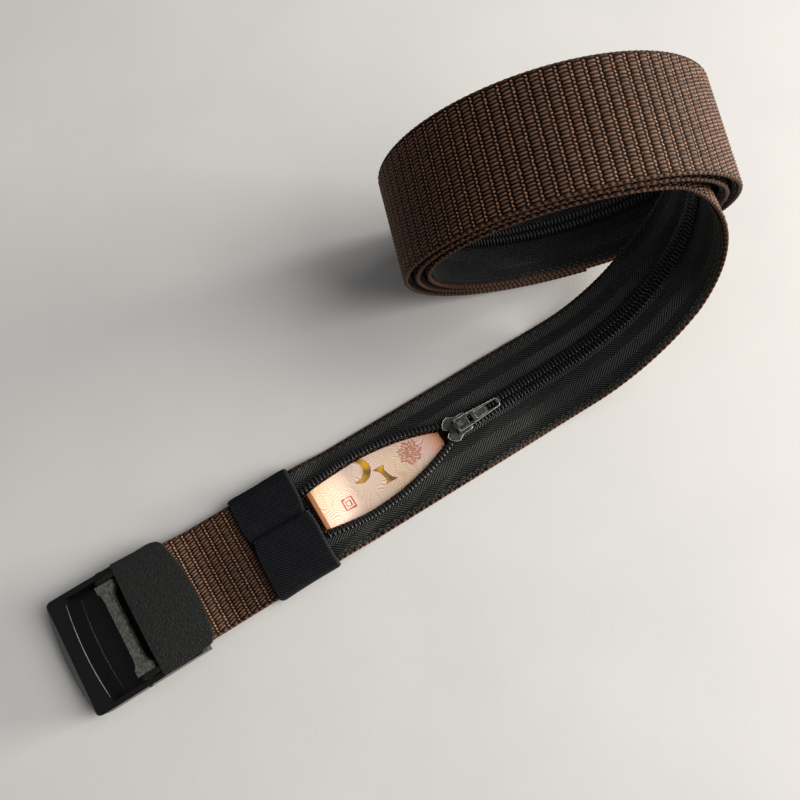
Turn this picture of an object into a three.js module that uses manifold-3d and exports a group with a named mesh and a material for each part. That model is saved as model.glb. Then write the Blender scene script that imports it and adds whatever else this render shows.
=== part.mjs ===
// A money belt: brown webbing with a zipped pocket on its inner face, a plastic cam buckle and an
// elastic keeper. The belt lies flat at the buckle end and the rest stands rolled up like a wheel.
// Millimetres, +Z up, +X along the flat part of the belt from the buckle to the roll.
import * as THREE from 'three';
import { ParametricGeometry } from 'three/addons/geometries/ParametricGeometry.js';
import { mergeVertices } from 'three/addons/utils/BufferGeometryUtils.js';
import Module from 'manifold-3d';

const wasm = await Module();
wasm.setup();

// Webbing
const WEBBING_WIDTH = 38;
const WEBBING_THICK = 1.6;
const HALF_WIDTH = WEBBING_WIDTH / 2;
const SKIN = WEBBING_THICK / 2;
const LYING_Z = SKIN + 0.1;

// Roll: an elliptical spiral about an axis that is turned from the flat part's width
const ROLL_TURN = THREE.MathUtils.degToRad(18);
const ROLL_LEAN = THREE.MathUtils.degToRad(8);
const ROLL_START_X = 160.5;
const ROLL_SIDE = 54;
const INNER_RADIUS_X = 46;
const INNER_RADIUS_Z = 37.3;
const TURN_PITCH = 4;
const TURNS = 3;
const TAIL_ANGLE = 0.35;
const SIDE_SHIFT_ANGLE = 2.6;
const LEAD_ANGLE = -0.55;
const RISE_ANGLE = 0.85;
const FIRST_TURN_EASE = 1.4;
const STEPS_PER_TURN = 36;
const ROLL_CENTRE_Z = LYING_Z + INNER_RADIUS_Z + TURNS * TURN_PITCH;

// Anchor end of the strap, folded round the buckle's bar
const ANCHOR_X = -8;
const ANCHOR_RADIUS = 1.5;
const LOWER_LAYER_Z = 2.3;
const FOLD_RADIUS = ANCHOR_RADIUS + 0.3 + SKIN;
const ANCHOR_Z = LOWER_LAYER_Z + FOLD_RADIUS;
const UPPER_LAYER_Z = 4.2;
const FOLD_END_X = 40;

// Zip
const TAPE_THICK = 0.4;
const TAPE_GAP = 0.3;
const TAPE_EDGE = 18;
const TAPE_START_X = 36;
const TAPE_END_TURNS = 2.96;
const COIL_WIDTH = 2.4;
const COIL_THICK = 1.2;
const COIL_ROUND = 0.4;
const COIL_START_X = 48.6;
const CHAIN_GAP = 0.5;
const OPEN_START_X = 30;
const OPEN_END_X = 108;
const OPEN_HALF_WIDTH = 9.4;
const OPEN_FULLNESS = 0.75;
const POCKET_LIFT = 2.05;
const TAPE_HEM = 1.6;
const HEM_RISE = 0.06;
const STITCH_START_X = 50;
const STITCH_LINE = 17;
const STITCH_WIDTH = 0.7;
const STITCH_THICK = 0.25;
const TACK_HALF = 6;
const FRONT_TACK_X = 38.5;

// Slider and puller
const SLIDER_X = 110;
const SLIDER_LENGTH = 10.5;
const SLIDER_FRONT_HALF = 5.2;
const SLIDER_REAR_HALF = 3.7;
const SLIDER_PLATE = 0.9;
const SLIDER_FLOOR = 0.5;
const DIVIDER_WIDTH = 0.4;
const BRIDGE_WIDTH = 2.2;
const BRIDGE_LENGTH = 6.6;
const BRIDGE_RISE = 3.1;
const PULLER_LENGTH = 18.5;
const PULLER_WIDTH = 5.4;
const PULLER_TIP_WIDTH = 3.6;
const PULLER_THICK = 1;

// Keeper
const KEEPER_X = 24;
const KEEPER_LENGTH = 24;
const KEEPER_WALL = 1.2;
const LAP_END = 2;
const LAP_THICK = 0.7;

// Folded note in the pocket
const NOTE_START_X = 50.6;
const NOTE_END_X = 104;
const NOTE_THICK = 0.8;

// Buckle
const BUCKLE_LEFT = -49.5;
const FRAME_HALF = 21.4;
const FRAME_BOW = 2.6;
const CORNER_RADIUS = 3;
const RAIL_THICK = 1.9;
const RAIL_TOP = 8.6;
const RAIL_END_X = -5.4;
const RAIL_END_ROUND = 2;
const FLOOR_THICK = 1.8;
const FLOOR_END_X = -13;
const FRONT_PLATE_X = -39.5;
const FRONT_PLATE_Z = 8.2;
const PIN_X = -26.5;
const PIN_Z = 6.2;
const PIN_RADIUS = 1.2;
const PIN_HOLE_RADIUS = 1.5;
const LEVER_LEFT = -20.6;
const LEVER_RIGHT = 0.9;
const LEVER_BULGE = 2.2;
const LEVER_BOTTOM = 9;
const LEVER_THICK = 2.2;
const LEVER_CROWN = 1;
const GAP = 0.3;

// ---- Solids ----

// A closed surface with shared vertices and no empty triangles.
function closed(geometry) {
  const bare = geometry.clone();
  bare.deleteAttribute('normal');
  bare.deleteAttribute('uv');
  const merged = mergeVertices(bare, 1e-4);
  const kept = [];
  const index = merged.index.array;
  for (let i = 0; i < index.length; i += 3) {
    const [a, b, c] = [index[i], index[i + 1], index[i + 2]];
    if (a !== b && b !== c && c !== a) kept.push(a, b, c);
  }
  merged.setIndex(kept);
  return merged;
}

function toSolid(geometry) {
  const merged = closed(geometry);
  return new wasm.Manifold(new wasm.Mesh({
    numProp: 3,
    vertProperties: new Float32Array(merged.attributes.position.array),
    triVerts: new Uint32Array(merged.index.array),
  }));
}

function toGeometry(solid) {
  const mesh = solid.getMesh();
  const geometry = new THREE.BufferGeometry();
  const corners = new Float32Array(mesh.vertProperties);
  geometry.setAttribute('position', new THREE.BufferAttribute(corners, 3));
  geometry.setIndex(new THREE.BufferAttribute(new Uint32Array(mesh.triVerts), 1));
  geometry.computeVertexNormals();
  return geometry;
}

function box(x0, x1, y0, y1, z0, z1) {
  const geometry = new THREE.BoxGeometry(x1 - x0, y1 - y0, z1 - z0);
  geometry.translate((x0 + x1) / 2, (y0 + y1) / 2, (z0 + z1) / 2);
  return toSolid(geometry);
}

// A round bar along Y.
function barAcross(x, z, radius, y0, y1, sides = 20) {
  const geometry = new THREE.CylinderGeometry(radius, radius, y1 - y0, sides);
  geometry.translate(x, (y0 + y1) / 2, z);
  return toSolid(geometry);
}

// A plan outline raised from z0 to z1.
function slab(shape, z0, z1, curveSegments = 12) {
  const settings = { depth: z1 - z0, bevelEnabled: false, curveSegments };
  const geometry = new THREE.ExtrudeGeometry(shape, settings);
  geometry.translate(0, 0, z0);
  return toSolid(geometry);
}

// A side outline in X and Z carried across from y0 to y1.
function profileAcross(shape, y0, y1, curveSegments = 12) {
  const settings = { depth: y1 - y0, bevelEnabled: false, curveSegments };
  const geometry = new THREE.ExtrudeGeometry(shape, settings);
  geometry.rotateX(Math.PI / 2);
  geometry.translate(0, y1, 0);
  return toSolid(geometry);
}

// ---- The strap's path ----

function smooth(value, from, to) {
  return THREE.MathUtils.smoothstep(value, from, to);
}

// Height of the strap's middle over the flat part.
function flatHeight(x) {
  const onBar = ANCHOR_Z + FOLD_RADIUS;
  const fromBar = THREE.MathUtils.lerp(onBar, UPPER_LAYER_Z, smooth(x, ANCHOR_X + 2, 8));
  return THREE.MathUtils.lerp(fromBar, LYING_Z, smooth(x, 49, 66));
}

// Reach of the roll from its axis at an angle, sideways and upwards.
function rollRadii(angle) {
  const grown = TURN_PITCH * angle / (2 * Math.PI) - FIRST_TURN_EASE * (1 - smooth(angle, 2, 5));
  return { x: INNER_RADIUS_X + grown, z: INNER_RADIUS_Z + grown };
}

// Height of the strap's middle where it leaves the ground and joins the innermost turn.
function risingHeight(along) {
  const end = rollRadii(RISE_ANGLE);
  const along0 = rollRadii(LEAD_ANGLE).x * Math.sin(LEAD_ANGLE);
  const along1 = end.x * Math.sin(RISE_ANGLE);
  const height1 = ROLL_CENTRE_Z - end.z * Math.cos(RISE_ANGLE);
  const slope1 = end.z * Math.tan(RISE_ANGLE) / end.x;
  const t = (along - along0) / (along1 - along0);
  return LYING_Z + (height1 - LYING_Z) * (3 * t ** 2 - 2 * t ** 3)
    + slope1 * (along1 - along0) * (t ** 3 - t ** 2);
}

// Sideways travel along the roll's axis: it leaves in line with the flat part and then settles.
function rollSide(angle) {
  if (angle < 0) return rollRadii(angle).x * Math.sin(angle) * Math.tan(ROLL_TURN);
  const t = Math.min(angle / SIDE_SHIFT_ANGLE, 1);
  const slope = rollRadii(0).x * Math.tan(ROLL_TURN) * SIDE_SHIFT_ANGLE;
  return slope * (t ** 3 - 2 * t ** 2 + t) + ROLL_SIDE * (3 * t ** 2 - 2 * t ** 3);
}

// The strap's middle in the roll, at an angle from the bottom of its first turn.
function rollPoint(angle) {
  const radii = rollRadii(angle);
  const along = radii.x * Math.sin(angle);
  const height = angle < RISE_ANGLE ? risingHeight(along) : ROLL_CENTRE_Z - radii.z * Math.cos(angle);
  const side = rollSide(angle) - (height - LYING_Z) * Math.tan(ROLL_LEAN);
  return new THREE.Vector3(
    ROLL_START_X + along * Math.cos(ROLL_TURN) + side * Math.sin(ROLL_TURN),
    -along * Math.sin(ROLL_TURN) + side * Math.cos(ROLL_TURN),
    height,
  );
}

// Points down the middle of the strap, each with the place x or angle that it belongs to.
function foldStations() {
  const stations = [];
  for (const x of [FOLD_END_X, 30, 20, 10, 0, ANCHOR_X]) {
    stations.push({ point: new THREE.Vector3(x, 0, LOWER_LAYER_Z), x: null, angle: -1 });
  }
  const arcSteps = 8;
  for (let i = 1; i < arcSteps; i++) {
    const turn = Math.PI * i / arcSteps;
    const x = ANCHOR_X - FOLD_RADIUS * Math.sin(turn);
    const z = ANCHOR_Z - FOLD_RADIUS * Math.cos(turn);
    stations.push({ point: new THREE.Vector3(x, 0, z), x: null, angle: -1 });
  }
  return stations;
}

function flatStations() {
  const stations = [];
  let x = ANCHOR_X;
  while (x < rollPoint(LEAD_ANGLE).x - 2) {
    stations.push({ point: new THREE.Vector3(x, 0, flatHeight(x)), x, angle: -1 });
    x += x < 8 || (x >= 48 && x < 68) ? 2.5 : 6;
  }
  return stations;
}

function rollStations() {
  const stations = [];
  const first = Math.round(LEAD_ANGLE / (2 * Math.PI) * STEPS_PER_TURN);
  const last = Math.round((TURNS + TAIL_ANGLE / (2 * Math.PI)) * STEPS_PER_TURN);
  for (let i = first; i <= last; i++) {
    const angle = i * 2 * Math.PI / STEPS_PER_TURN;
    stations.push({ point: rollPoint(angle), x: ROLL_START_X, angle });
  }
  return stations;
}

// Adds to each station the directions along, across and out of the strap's zip face.
function withFrames(stations) {
  return stations.map((station, i) => {
    const before = stations[Math.max(i - 1, 0)].point;
    const after = stations[Math.min(i + 1, stations.length - 1)].point;
    const along = after.clone().sub(before).normalize();
    const turn = station.angle > LEAD_ANGLE ? ROLL_TURN : 0;
    const lean = ROLL_LEAN * (1 - Math.cos(Math.max(station.angle, 0))) / 2;
    const axis = new THREE.Vector3(
      Math.sin(turn) * Math.cos(lean),
      Math.cos(turn) * Math.cos(lean),
      Math.sin(lean),
    );
    const across = axis.addScaledVector(along, -axis.dot(along)).normalize();
    return { ...station, along, across, out: along.clone().cross(across) };
  });
}

const STATIONS = withFrames([...foldStations(), ...flatStations(), ...rollStations()]);

// A piece that follows the strap: its section is a list of [across, out] corners at each station.
function sweep(stations, sectionAt) {
  const rows = stations.map((station) => sectionAt(station).map(([across, out]) => (
    station.point.clone().addScaledVector(station.across, across).addScaledVector(station.out, out)
  )));
  const corners = rows[0].length;
  const middle = (row) => (
    row.reduce((sum, p) => sum.add(p), new THREE.Vector3()).divideScalar(corners)
  );
  const stacks = rows.length + 1;
  const surface = (u, v, target) => {
    const level = Math.round(v * stacks) - 1;
    if (level < 0) target.copy(middle(rows[0]));
    else if (level >= rows.length) target.copy(middle(rows[rows.length - 1]));
    else target.copy(rows[level][Math.round(u * corners) % corners]);
  };
  return closed(new ParametricGeometry(surface, corners, stacks));
}

function rectangle(across0, across1, out0, out1) {
  return [[across0, out0], [across1, out0], [across1, out1], [across0, out1]];
}

function stationsBetween(fromX, toTurns) {
  const lastAngle = toTurns * 2 * Math.PI + 1e-6;
  return STATIONS.filter((s) => s.x !== null && s.x >= fromX && s.angle <= lastAngle);
}

// ---- The zip's shape along the strap ----

// Half of the opening between the two rows of teeth.
function halfOpening(x) {
  const t = THREE.MathUtils.clamp((OPEN_END_X - x) / (OPEN_END_X - OPEN_START_X), 0, 1);
  return CHAIN_GAP + OPEN_HALF_WIDTH * Math.sin(Math.PI * t) ** OPEN_FULLNESS;
}

// How far the pocket lifts the zip off the webbing.
function pocketLift(station) {
  if (station.angle > 0) return POCKET_LIFT * (1 - smooth(station.angle, 0, 0.6));
  return POCKET_LIFT * smooth(station.x, 48, 64);
}

function tapeBottom(station) {
  return SKIN + TAPE_GAP + pocketLift(station);
}

function tapeGeometry(side) {
  return sweep(stationsBetween(TAPE_START_X, TAPE_END_TURNS), (s) => {
    const inner = halfOpening(s.x) + 0.4;
    const bottom = tapeBottom(s);
    const edge = SKIN + TAPE_GAP;
    const shoulder = Math.max(inner + 0.6, SLIDER_FRONT_HALF + 0.6);
    const hem = edge + (bottom - edge) * HEM_RISE;
    const under = [[inner, bottom], [shoulder, bottom], [TAPE_EDGE - TAPE_HEM, hem], [TAPE_EDGE, edge]];
    const over = under.map(([across, out]) => [across, out + TAPE_THICK]).reverse();
    const section = [...under, ...over];
    return side > 0 ? section : section.map(([a, o]) => [-a, o]).reverse();
  });
}

function coilGeometry(side) {
  return sweep(stationsBetween(COIL_START_X, TAPE_END_TURNS - 1 / STEPS_PER_TURN), (s) => {
    const inner = halfOpening(s.x);
    const bottom = tapeBottom(s) + TAPE_THICK + 0.05;
    const [left, right] = [inner, inner + COIL_WIDTH].map((v) => v * side).sort((p, q) => p - q);
    const top = bottom + COIL_THICK;
    const shoulder = top - COIL_ROUND;
    return [
      [left, bottom], [right, bottom], [right, shoulder],
      [right - COIL_ROUND, top], [left + COIL_ROUND, top], [left, shoulder],
    ];
  });
}

function stitchGeometry(side) {
  return sweep(stationsBetween(STITCH_START_X, TAPE_END_TURNS - 0.02), (s) => {
    const rise = (tapeBottom(s) - SKIN - TAPE_GAP) * HEM_RISE;
    const bottom = SKIN + TAPE_GAP + TAPE_THICK + rise + 0.08;
    const line = side * STITCH_LINE;
    return rectangle(line - STITCH_WIDTH / 2, line + STITCH_WIDTH / 2, bottom, bottom + STITCH_THICK);
  });
}

function webbingGeometry() {
  const bevel = 0.35;
  return sweep(STATIONS, () => [
    [-HALF_WIDTH + bevel, -SKIN], [HALF_WIDTH - bevel, -SKIN], [HALF_WIDTH, 0],
    [HALF_WIDTH - bevel, SKIN], [-HALF_WIDTH + bevel, SKIN], [-HALF_WIDTH, 0],
  ]);
}

function noteGeometry() {
  const inPocket = STATIONS.filter((s) => (
    s.x !== null && s.x >= NOTE_START_X - 1 && s.x <= NOTE_END_X
  ));
  return sweep(inPocket, (s) => {
    const half = Math.max(halfOpening(s.x) - 0.9, 0.6);
    const bottom = SKIN + 0.25;
    return rectangle(-half, half, bottom, bottom + NOTE_THICK);
  });
}

// A bar of thread across the strap at x, on top of a layer.
function threadBar(x, from, to, z, thick = 0.4) {
  const shape = new THREE.Shape();
  shape.moveTo(x - 1, from);
  shape.lineTo(x + 1, from);
  shape.absarc(x, to, 1, 0, Math.PI, false);
  shape.lineTo(x - 1, from);
  return toGeometry(slab(shape, z, z + thick, 6));
}

// A bar tack across both tapes, lying on them between two places on the strap's last stations.
function tailTackGeometry() {
  const from = (TAPE_END_TURNS - 1.5 / STEPS_PER_TURN) * 2 * Math.PI;
  const [before, after] = STATIONS.filter((s) => s.angle > from);
  const blend = (share) => ({
    point: before.point.clone().lerp(after.point, share),
    across: before.across.clone().lerp(after.across, share).normalize(),
    out: before.out.clone().lerp(after.out, share).normalize(),
  });
  const bottom = SKIN + TAPE_GAP + TAPE_THICK + 0.12;
  const section = rectangle(-TACK_HALF, TACK_HALF, bottom, bottom + STITCH_THICK);
  return sweep([blend(0.35), blend(0.55)], () => section);
}

// ---- Keeper ----

const KEEPER_CEILING = UPPER_LAYER_Z + SKIN + TAPE_GAP + TAPE_THICK + 0.55 + GAP;

// The row of thread that joins the lapped ends, as it shows inside the band.
function keeperStitchGeometry() {
  const z1 = KEEPER_CEILING - 0.05;
  return toGeometry(box(KEEPER_X + 2, KEEPER_X + KEEPER_LENGTH - 2, -0.4, 0.4, z1 - STITCH_THICK, z1));
}

function keeperGeometry() {
  const inner = HALF_WIDTH + GAP;
  const top = KEEPER_CEILING;
  const x1 = KEEPER_X + KEEPER_LENGTH;
  const outside = box(KEEPER_X, x1, -inner - KEEPER_WALL, inner + KEEPER_WALL, 0, top + KEEPER_WALL);
  const hole = box(KEEPER_X - 1, x1 + 1, -inner, inner, KEEPER_WALL, top);
  const lapStart = -inner - KEEPER_WALL + 0.2;
  const lapTop = top + KEEPER_WALL + LAP_THICK;
  const overlap = box(KEEPER_X, x1, lapStart, LAP_END, top + KEEPER_WALL / 2, lapTop);
  return toGeometry(outside.subtract(hole).add(overlap));
}

// ---- Buckle ----

// Plan of the buckle's frame: bowed at its left end, with rounded corners there, and straight at x1.
function framePlan(x1) {
  const shape = new THREE.Shape();
  const left = BUCKLE_LEFT + FRAME_BOW;
  shape.moveTo(x1, -FRAME_HALF);
  shape.lineTo(x1, FRAME_HALF);
  shape.lineTo(left + CORNER_RADIUS, FRAME_HALF);
  shape.quadraticCurveTo(left + 0.4, FRAME_HALF, left, FRAME_HALF - CORNER_RADIUS);
  shape.quadraticCurveTo(BUCKLE_LEFT - FRAME_BOW, 0, left, -FRAME_HALF + CORNER_RADIUS);
  shape.quadraticCurveTo(left + 0.4, -FRAME_HALF, left + CORNER_RADIUS, -FRAME_HALF);
  return shape;
}

// Plan of the lever's cover plate: wider at its hinge end and bowed at the strap end.
function leverPlan() {
  const shape = new THREE.Shape();
  const right = LEVER_RIGHT - LEVER_BULGE;
  const half = FRAME_HALF - 0.8;
  shape.moveTo(LEVER_LEFT, -FRAME_HALF);
  shape.lineTo(right - CORNER_RADIUS, -half);
  shape.quadraticCurveTo(right, -half, right + 0.7, -half + CORNER_RADIUS);
  shape.quadraticCurveTo(LEVER_RIGHT + LEVER_BULGE, -2, right - 0.3, half - CORNER_RADIUS);
  shape.quadraticCurveTo(right - 1, half, right - 1 - CORNER_RADIUS, half);
  shape.lineTo(LEVER_LEFT, FRAME_HALF);
  return shape;
}

function frameGeometry() {
  const body = slab(framePlan(FLOOR_END_X), 0, FLOOR_THICK);
  const plate = slab(framePlan(FRONT_PLATE_X), FLOOR_THICK - 0.1, FRONT_PLATE_Z);
  const bite = new THREE.Shape();
  bite.moveTo(FRONT_PLATE_X + 1, -FRAME_HALF + RAIL_THICK);
  bite.lineTo(FRONT_PLATE_X + 1, FRAME_HALF - RAIL_THICK);
  bite.lineTo(FRONT_PLATE_X - 0.2, FRAME_HALF - RAIL_THICK);
  bite.quadraticCurveTo(FRONT_PLATE_X - 3.2, 0, FRONT_PLATE_X - 0.2, -FRAME_HALF + RAIL_THICK);
  const bevel = new THREE.Shape();
  bevel.moveTo(BUCKLE_LEFT - 2, 2.5);
  bevel.lineTo(BUCKLE_LEFT - 2, FRONT_PLATE_Z + 1);
  bevel.lineTo(BUCKLE_LEFT + 4.2, FRONT_PLATE_Z + 1);
  bevel.lineTo(BUCKLE_LEFT + 3.2, FRONT_PLATE_Z - 0.2);
  const railProfile = new THREE.Shape();
  railProfile.moveTo(FRONT_PLATE_X - 4, 0);
  railProfile.lineTo(RAIL_END_X, 0);
  railProfile.lineTo(RAIL_END_X, RAIL_TOP - RAIL_END_ROUND);
  railProfile.quadraticCurveTo(RAIL_END_X, RAIL_TOP, RAIL_END_X - RAIL_END_ROUND, RAIL_TOP);
  railProfile.lineTo(FRONT_PLATE_X - 4, FRONT_PLATE_Z);
  const railInner = FRAME_HALF - RAIL_THICK;
  const rails = profileAcross(railProfile, -FRAME_HALF, -railInner)
    .add(profileAcross(railProfile, railInner, FRAME_HALF));
  const anchor = barAcross(ANCHOR_X, ANCHOR_Z, ANCHOR_RADIUS, -railInner - 0.5, railInner + 0.5);
  const pinHoles = barAcross(PIN_X, PIN_Z, PIN_HOLE_RADIUS, -FRAME_HALF - 1, FRAME_HALF + 1);
  const curve = slab(bite, FLOOR_THICK, FRONT_PLATE_Z + 1);
  const cleared = body.add(plate).subtract(curve).add(rails).subtract(profileAcross(bevel, -30, 30));
  return toGeometry(cleared.add(anchor).subtract(pinHoles));
}

// The cover plate, crowned on top, with an arm down to the pin at each side.
function leverGeometry() {
  const top = LEVER_BOTTOM + LEVER_THICK;
  const crown = new THREE.Shape();
  crown.moveTo(-FRAME_HALF - 1, LEVER_BOTTOM);
  crown.lineTo(FRAME_HALF + 1, LEVER_BOTTOM);
  crown.lineTo(FRAME_HALF + 1, top - 0.8);
  crown.quadraticCurveTo(0, top + LEVER_CROWN * 1.6, -FRAME_HALF - 1, top - 0.8);
  const settings = { depth: 60, bevelEnabled: false, curveSegments: 10 };
  const crownGeometry = new THREE.ExtrudeGeometry(crown, settings);
  crownGeometry.rotateX(Math.PI / 2);
  crownGeometry.rotateZ(Math.PI / 2);
  crownGeometry.translate(-50, 0, 0);
  const plate = slab(leverPlan(), LEVER_BOTTOM - 1, top + 3).intersect(toSolid(crownGeometry));
  const armOuter = FRAME_HALF - RAIL_THICK - GAP;
  const armInner = armOuter - 1.8;
  const arm = new THREE.Shape();
  arm.absarc(PIN_X, PIN_Z, 2.9, Math.PI * 0.5, Math.PI * 1.5, false);
  arm.lineTo(PIN_X + 4, PIN_Z - 2.2);
  arm.lineTo(LEVER_LEFT + 4, LEVER_BOTTOM + 0.4);
  arm.lineTo(LEVER_LEFT, LEVER_BOTTOM + 1.2);
  const arms = profileAcross(arm, armInner, armOuter).add(profileAcross(arm, -armOuter, -armInner));
  const holes = barAcross(PIN_X, PIN_Z, PIN_HOLE_RADIUS, -FRAME_HALF, FRAME_HALF);
  return toGeometry(plate.add(arms).subtract(holes));
}

// The gripping bar between the lever's arms, wide at its ends and narrow in the middle.
function clampBarGeometry() {
  const half = FRAME_HALF - RAIL_THICK - GAP - 1.8 - GAP;
  const shape = new THREE.Shape();
  const left = PIN_X - 2.5;
  const right = PIN_X + 4;
  const waistLeft = PIN_X - 1.4;
  const waistRight = PIN_X + 1.9;
  shape.moveTo(left, -half);
  shape.lineTo(right, -half);
  shape.lineTo(right, -half + 2.6);
  shape.quadraticCurveTo(waistRight, -half + 3.4, waistRight, -half + 7);
  shape.lineTo(waistRight, half - 7);
  shape.quadraticCurveTo(waistRight, half - 3.4, right, half - 2.6);
  shape.lineTo(right, half);
  shape.lineTo(left, half);
  shape.lineTo(left, half - 2.6);
  shape.quadraticCurveTo(waistLeft, half - 3, waistLeft, half - 7);
  shape.lineTo(waistLeft, -half + 7);
  shape.quadraticCurveTo(waistLeft, -half + 3, left, -half + 2.6);
  return toGeometry(slab(shape, PIN_Z - 0.6, PIN_Z + 2.9, 5));
}

function pinGeometry(side) {
  const inner = FRAME_HALF - RAIL_THICK - GAP - 1.6;
  const outer = FRAME_HALF + 0.5;
  const [y0, y1] = side > 0 ? [inner, outer] : [-outer, -inner];
  return toGeometry(barAcross(PIN_X, PIN_Z, PIN_RADIUS, y0, y1, 24));
}

// ---- Slider ----

const CHAIN_TOP = LYING_Z + SKIN + TAPE_GAP + POCKET_LIFT + TAPE_THICK + 0.05 + COIL_THICK;
const PLATE_Z = CHAIN_TOP + GAP;
const HINGE_Z = PLATE_Z + SLIDER_PLATE + 1.05;

// Two pointed wings at the front, then a narrower body with rounded corners.
function sliderPlan() {
  const x0 = SLIDER_X - SLIDER_LENGTH / 2;
  const x1 = SLIDER_X + SLIDER_LENGTH / 2;
  const notch = x0 + 3.2;
  const shoulder = x0 + 3.7;
  const waist = x0 + 6.4;
  const corner = 0.8;
  const shape = new THREE.Shape();
  shape.moveTo(notch, 0);
  shape.quadraticCurveTo(x0 + 1.2, -0.6, x0, -1.5);
  shape.quadraticCurveTo(x0 + 0.4, -4.5, shoulder, -SLIDER_FRONT_HALF);
  shape.quadraticCurveTo(shoulder + 1.2, -SLIDER_REAR_HALF - 0.5, waist, -SLIDER_REAR_HALF);
  shape.lineTo(x1 - corner, -SLIDER_REAR_HALF);
  shape.quadraticCurveTo(x1, -SLIDER_REAR_HALF, x1, -SLIDER_REAR_HALF + corner);
  shape.lineTo(x1, SLIDER_REAR_HALF - corner);
  shape.quadraticCurveTo(x1, SLIDER_REAR_HALF, x1 - corner, SLIDER_REAR_HALF);
  shape.lineTo(waist, SLIDER_REAR_HALF);
  shape.quadraticCurveTo(shoulder + 1.2, SLIDER_REAR_HALF + 0.5, shoulder, SLIDER_FRONT_HALF);
  shape.quadraticCurveTo(x0 + 0.4, 4.5, x0, 1.5);
  shape.quadraticCurveTo(x0 + 1.2, 0.6, notch, 0);
  return shape;
}

function sliderGeometry() {
  const floorTop = LYING_Z + SKIN + TAPE_GAP + POCKET_LIFT - GAP;
  const floorPlate = slab(sliderPlan(), floorTop - SLIDER_FLOOR, floorTop, 5);
  const topPlate = slab(sliderPlan(), PLATE_Z, PLATE_Z + SLIDER_PLATE, 5);
  const divider = box(
    SLIDER_X - SLIDER_LENGTH / 2 + 3.4, SLIDER_X - SLIDER_LENGTH / 2 + 6.4,
    -DIVIDER_WIDTH / 2, DIVIDER_WIDTH / 2, floorTop - 0.2, PLATE_Z + 0.2,
  );
  const arch = new THREE.Shape();
  const x0 = SLIDER_X - BRIDGE_LENGTH / 2;
  const x1 = SLIDER_X + BRIDGE_LENGTH / 2;
  const foot = PLATE_Z + SLIDER_PLATE - 0.2;
  const crest = PLATE_Z + SLIDER_PLATE + BRIDGE_RISE;
  arch.moveTo(x0, foot);
  arch.lineTo(x0 + 1.1, foot);
  arch.quadraticCurveTo(x0 + 1.2, crest - 0.9, SLIDER_X, crest - 0.9);
  arch.quadraticCurveTo(x1 - 1.2, crest - 0.9, x1 - 1.1, foot);
  arch.lineTo(x1, foot);
  arch.quadraticCurveTo(x1, crest, SLIDER_X, crest);
  arch.quadraticCurveTo(x0, crest, x0, foot);
  const bridge = profileAcross(arch, -BRIDGE_WIDTH / 2, BRIDGE_WIDTH / 2, 6);
  return toGeometry(floorPlate.add(divider).add(topPlate).add(bridge));
}

// The pull tab: a yoke round the bridge, a sunk panel with a rim, and a window at the tip.
function pullerGeometry() {
  const x0 = SLIDER_X - 0.6;
  const x1 = SLIDER_X + PULLER_LENGTH;
  const half = PULLER_WIDTH / 2;
  const tipHalf = PULLER_TIP_WIDTH / 2;
  const corner = 1.1;
  const shape = new THREE.Shape();
  shape.moveTo(x0, -half);
  shape.lineTo(SLIDER_X + 4, -half);
  shape.lineTo(x1 - corner, -tipHalf);
  shape.quadraticCurveTo(x1, -tipHalf, x1, -tipHalf + corner);
  shape.lineTo(x1, tipHalf - corner);
  shape.quadraticCurveTo(x1, tipHalf, x1 - corner, tipHalf);
  shape.lineTo(SLIDER_X + 4, half);
  shape.lineTo(x0, half);
  const z0 = HINGE_Z - PULLER_THICK / 2;
  const z1 = HINGE_Z + PULLER_THICK / 2;
  const eyeHalf = BRIDGE_WIDTH / 2 + GAP;
  const eye = box(SLIDER_X + 0.5, SLIDER_X + 6.6, -eyeHalf, eyeHalf, z0 - 1, z1 + 1);
  const panel = box(SLIDER_X + 8, x1 - 6.2, -tipHalf + 0.45, tipHalf - 0.45, z1 - 0.3, z1 + 1);
  const window = box(x1 - 5.4, x1 - 0.7, -tipHalf + 0.6, tipHalf - 0.6, z0 - 1, z1 + 1);
  return toGeometry(slab(shape, z0, z1, 5).subtract(eye).subtract(panel).subtract(window));
}

// ---- Materials and the assembly ----

function finish(color, roughness, metalness = 0) {
  return new THREE.MeshStandardMaterial({ color, roughness, metalness });
}

const webbingBrown = () => finish(0x3a241b, 0.8);
const threadBlack = () => finish(0x141414, 0.85);
const tapeBlack = () => finish(0x17181a, 0.9);
const coilBlack = () => finish(0x101112, 0.45);
const elasticBlack = () => finish(0x181b24, 0.9);
const bucklePlastic = () => finish(0x242624, 0.6);
const pinPlastic = () => finish(0x2b2d2c, 0.3);
const sliderMetal = () => finish(0x34373a, 0.35, 0.8);
const notePaper = () => finish(0xe8cdbb, 0.75);

const belt = new THREE.Group();

function addPiece(name, geometry, material) {
  const mesh = new THREE.Mesh(geometry, material);
  mesh.name = name;
  belt.add(mesh);
}

const foldStitchZ = UPPER_LAYER_Z + SKIN + 0.08;
const frontTackZ = UPPER_LAYER_Z + SKIN + TAPE_GAP + TAPE_THICK + 0.08;
const frontTack = threadBar(FRONT_TACK_X, -TACK_HALF, TACK_HALF, frontTackZ, STITCH_THICK);

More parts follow.
